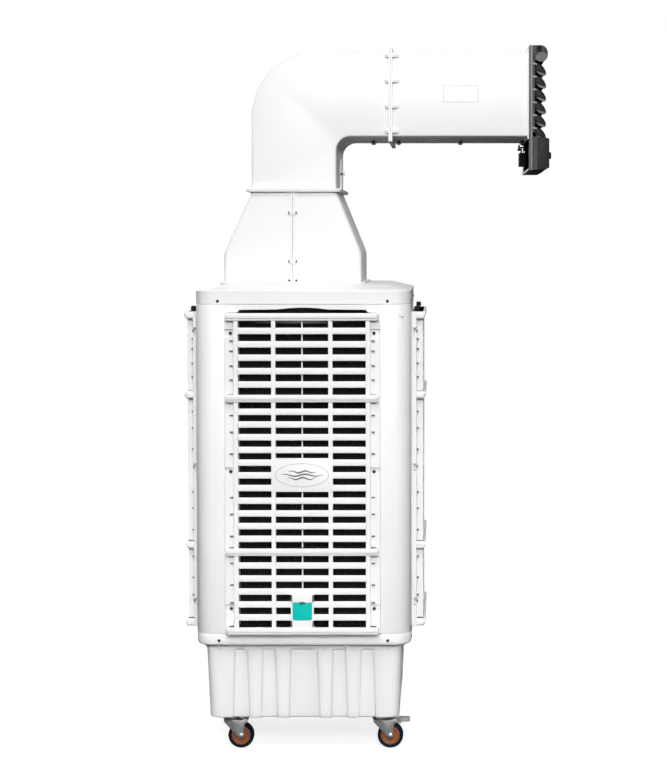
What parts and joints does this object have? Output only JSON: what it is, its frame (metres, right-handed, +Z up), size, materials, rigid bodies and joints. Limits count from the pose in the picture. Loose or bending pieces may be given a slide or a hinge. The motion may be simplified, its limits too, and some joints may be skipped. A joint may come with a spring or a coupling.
{
  "type": "evaporative cooler",
  "caption": "Mobile evaporative air cooler: louvred pad cabinet on a fluted water tank with casters, topped by a hood, elbow and square duct ending in a vaned outlet.",
  "frame": {"origin": "middle of the footprint of the whole object, duct included, on the floor", "axes": "+Z up, +X along the duct towards the outlet, front panel facing -Y"},
  "size_m": [1.065, 0.68, 2.044],
  "materials": {
    "white_plastic": "satin white moulded plastic",
    "grey_plastic": "matte grey plastic",
    "black_plastic": "charcoal moulded plastic",
    "teal_plastic": "translucent-looking teal plastic",
    "pad_paper": "corrugated wet pad paper",
    "zinc": "zinc-plated pressed steel",
    "copper_motor": "painted motor can",
    "tyre": "dark blue-black wheel tread",
    "blue_pipe": "blue water pipe"
  },
  "bodies": {
    "cabinet": {"tank": "white_plastic", "base_ring": "white_plastic", "column_front_left": "white_plastic", "column_front_right": "white_plastic", "column_rear_left": "white_plastic", "column_rear_right": "white_plastic", "upper_frame": "white_plastic", "top_cover": "white_plastic", "panel_front": "white_plastic", "panel_left": "white_plastic", "panel_right": "white_plastic", "rear_panel": "white_plastic", "hood_left": "white_plastic", "hood_right": "white_plastic", "elbow_front": "white_plastic", "elbow_rear": "white_plastic", "duct_front": "white_plastic", "duct_rear": "white_plastic", "pad_front": "pad_paper", "pad_left": "pad_paper", "pad_right": "pad_paper", "control_panel": "grey_plastic", "fan_shroud": "grey_plastic", "cable_gland": "black_plastic", "outlet_frame": "black_plastic", "outlet_motor_cover": "black_plastic", "swing_motor": "black_plastic", "water_pump": "black_plastic", "float_valve": "zinc", "fan_motor": "copper_motor", "water_pipe": "blue_pipe"},
    "fork_front_left": {"caster_fork_front_left": "zinc"},
    "wheel_front_left": {"caster_wheel_front_left": "tyre"},
    "fork_rear_left": {"caster_fork_rear_left": "zinc"},
    "wheel_rear_left": {"caster_wheel_rear_left": "tyre"},
    "fork_front_right": {"caster_fork_front_right": "zinc"},
    "wheel_front_right": {"caster_wheel_front_right": "tyre"},
    "pedal_front_right": {"brake_pedal_front_right": "zinc"},
    "fork_rear_right": {"caster_fork_rear_right": "zinc"},
    "wheel_rear_right": {"caster_wheel_rear_right": "tyre"},
    "pedal_rear_right": {"brake_pedal_rear_right": "zinc"},
    "vane_h_1": {"vane_h_1": "black_plastic"},
    "vane_h_2": {"vane_h_2": "black_plastic"},
    "vane_h_3": {"vane_h_3": "black_plastic"},
    "vane_h_4": {"vane_h_4": "black_plastic"},
    "vane_h_5": {"vane_h_5": "black_plastic"},
    "vane_h_6": {"vane_h_6": "black_plastic"},
    "vane_h_link": {"vane_h_link": "grey_plastic"},
    "vane_v_1": {"vane_v_1": "grey_plastic"},
    "vane_v_2": {"vane_v_2": "grey_plastic"},
    "vane_v_3": {"vane_v_3": "grey_plastic"},
    "vane_v_link": {"vane_v_link": "grey_plastic"},
    "fan": {"fan_impeller": "black_plastic"},
    "pump_rotor": {"pump_impeller": "grey_plastic"},
    "float": {"float_arm": "teal_plastic"},
    "flap": {"tablet_flap": "teal_plastic"},
    "plug": {"drain_plug": "black_plastic"},
    "button_power": {"button_power": "black_plastic"},
    "button_cooling": {"button_cooling": "black_plastic"},
    "button_swing": {"button_swing": "black_plastic"}
  },
  "joints": [
    {"name": "caster_swivel_front_left", "type": "hinge", "parent": "cabinet", "child": "fork_front_left", "pos_m": [-0.4005, -0.199, 0.1017], "axis": [0, 0, 1], "continuous": true},
    {"name": "wheel_spin_front_left", "type": "hinge", "parent": "fork_front_left", "child": "wheel_front_left", "pos_m": [-0.3715, -0.199, 0.0375], "axis": [0, 1, 0], "continuous": true},
    {"name": "caster_swivel_rear_left", "type": "hinge", "parent": "cabinet", "child": "fork_rear_left", "pos_m": [-0.4005, 0.219, 0.1017], "axis": [0, 0, 1], "continuous": true},
    {"name": "wheel_spin_rear_left", "type": "hinge", "parent": "fork_rear_left", "child": "wheel_rear_left", "pos_m": [-0.4295, 0.219, 0.0375], "axis": [0, 1, 0], "continuous": true},
    {"name": "caster_swivel_front_right", "type": "hinge", "parent": "cabinet", "child": "fork_front_right", "pos_m": [0.0355, -0.199, 0.1017], "axis": [0, 0, 1], "continuous": true},
    {"name": "wheel_spin_front_right", "type": "hinge", "parent": "fork_front_right", "child": "wheel_front_right", "pos_m": [0.0645, -0.199, 0.0375], "axis": [0, 1, 0], "continuous": true},
    {"name": "brake_front_right", "type": "hinge", "parent": "fork_front_right", "child": "pedal_front_right", "pos_m": [0.0775, -0.199, 0.081], "axis": [0, 1, 0], "range_deg": [0, 12]},
    {"name": "caster_swivel_rear_right", "type": "hinge", "parent": "cabinet", "child": "fork_rear_right", "pos_m": [0.0355, 0.219, 0.1017], "axis": [0, 0, 1], "continuous": true},
    {"name": "wheel_spin_rear_right", "type": "hinge", "parent": "fork_rear_right", "child": "wheel_rear_right", "pos_m": [0.0065, 0.219, 0.0375], "axis": [0, 1, 0], "continuous": true},
    {"name": "brake_rear_right", "type": "hinge", "parent": "fork_rear_right", "child": "pedal_rear_right", "pos_m": [-0.0065, 0.219, 0.081], "axis": [0, -1, 0], "range_deg": [0, 12]},
    {"name": "vane_h_1_tilt", "type": "hinge", "parent": "cabinet", "child": "vane_h_1", "pos_m": [0.4845, 0.01, 1.99], "axis": [0, -1, 0], "range_deg": [-12, 35]},
    {"name": "vane_h_2_tilt", "type": "hinge", "parent": "cabinet", "child": "vane_h_2", "pos_m": [0.4845, 0.01, 1.953], "axis": [0, -1, 0], "range_deg": [-12, 35]},
    {"name": "vane_h_3_tilt", "type": "hinge", "parent": "cabinet", "child": "vane_h_3", "pos_m": [0.4845, 0.01, 1.916], "axis": [0, -1, 0], "range_deg": [-12, 35]},
    {"name": "vane_h_4_tilt", "type": "hinge", "parent": "cabinet", "child": "vane_h_4", "pos_m": [0.4845, 0.01, 1.879], "axis": [0, -1, 0], "range_deg": [-12, 35]},
    {"name": "vane_h_5_tilt", "type": "hinge", "parent": "cabinet", "child": "vane_h_5", "pos_m": [0.4845, 0.01, 1.842], "axis": [0, -1, 0], "range_deg": [-12, 35]},
    {"name": "vane_h_6_tilt", "type": "hinge", "parent": "cabinet", "child": "vane_h_6", "pos_m": [0.4845, 0.01, 1.805], "axis": [0, -1, 0], "range_deg": [-12, 35]},
    {"name": "vane_h_link_turn", "type": "hinge", "parent": "vane_h_1", "child": "vane_h_link", "pos_m": [0.5015, 0.2145, 1.97], "axis": [0, -1, 0], "range_deg": [-35, 12]},
    {"name": "vane_v_1_swing", "type": "hinge", "parent": "cabinet", "child": "vane_v_1", "pos_m": [0.472, -0.09, 1.794], "axis": [0, 0, 1], "range_deg": [-30, 30]},
    {"name": "vane_v_2_swing", "type": "hinge", "parent": "cabinet", "child": "vane_v_2", "pos_m": [0.472, 0.01, 1.794], "axis": [0, 0, 1], "range_deg": [-30, 30]},
    {"name": "vane_v_3_swing", "type": "hinge", "parent": "cabinet", "child": "vane_v_3", "pos_m": [0.472, 0.11, 1.794], "axis": [0, 0, 1], "range_deg": [-30, 30]},
    {"name": "vane_v_link_turn", "type": "hinge", "parent": "vane_v_1", "child": "vane_v_link", "pos_m": [0.4295, -0.09, 1.794], "axis": [0, 0, 1], "range_deg": [-30, 30]},
    {"name": "fan_spin", "type": "hinge", "parent": "cabinet", "child": "fan", "pos_m": [-0.218, 0.01, 1.266], "axis": [0, 0, 1], "continuous": true},
    {"name": "pump_spin", "type": "hinge", "parent": "cabinet", "child": "pump_rotor", "pos_m": [0.0175, 0.195, 0.1265], "axis": [0, 0, 1], "continuous": true},
    {"name": "float_lift", "type": "hinge", "parent": "cabinet", "child": "float", "pos_m": [-0.144, 0.225, 0.285], "axis": [0, 1, 0], "range_deg": [0, 25]},
    {"name": "tablet_flap_hinge", "type": "hinge", "parent": "cabinet", "child": "flap", "pos_m": [-0.1825, -0.33615, 0.40235], "axis": [1, 0, 0], "range_deg": [0, 90]},
    {"name": "drain_plug_pull", "type": "slide", "parent": "cabinet", "child": "plug", "axis": [0, 1, 0], "range_m": [0, 0.03]},
    {"name": "button_power_press", "type": "slide", "parent": "cabinet", "child": "button_power", "axis": [0, -1, 0], "range_m": [0, 0.0025], "stiffness_N_per_m": 300},
    {"name": "button_cooling_press", "type": "slide", "parent": "cabinet", "child": "button_cooling", "axis": [0, -1, 0], "range_m": [0, 0.0025], "stiffness_N_per_m": 300},
    {"name": "button_swing_press", "type": "slide", "parent": "cabinet", "child": "button_swing", "axis": [0, -1, 0], "range_m": [0, 0.0025], "stiffness_N_per_m": 300}
  ],
  "couplings": [
    {"joint": "vane_h_2_tilt", "follows": "vane_h_1_tilt", "ratio": 1},
    {"joint": "vane_h_3_tilt", "follows": "vane_h_1_tilt", "ratio": 1},
    {"joint": "vane_h_4_tilt", "follows": "vane_h_1_tilt", "ratio": 1},
    {"joint": "vane_h_5_tilt", "follows": "vane_h_1_tilt", "ratio": 1},
    {"joint": "vane_h_6_tilt", "follows": "vane_h_1_tilt", "ratio": 1},
    {"joint": "vane_h_link_turn", "follows": "vane_h_1_tilt", "ratio": -1},
    {"joint": "vane_v_2_swing", "follows": "vane_v_1_swing", "ratio": 1},
    {"joint": "vane_v_3_swing", "follows": "vane_v_1_swing", "ratio": 1},
    {"joint": "vane_v_link_turn", "follows": "vane_v_1_swing", "ratio": -1}
  ]
}
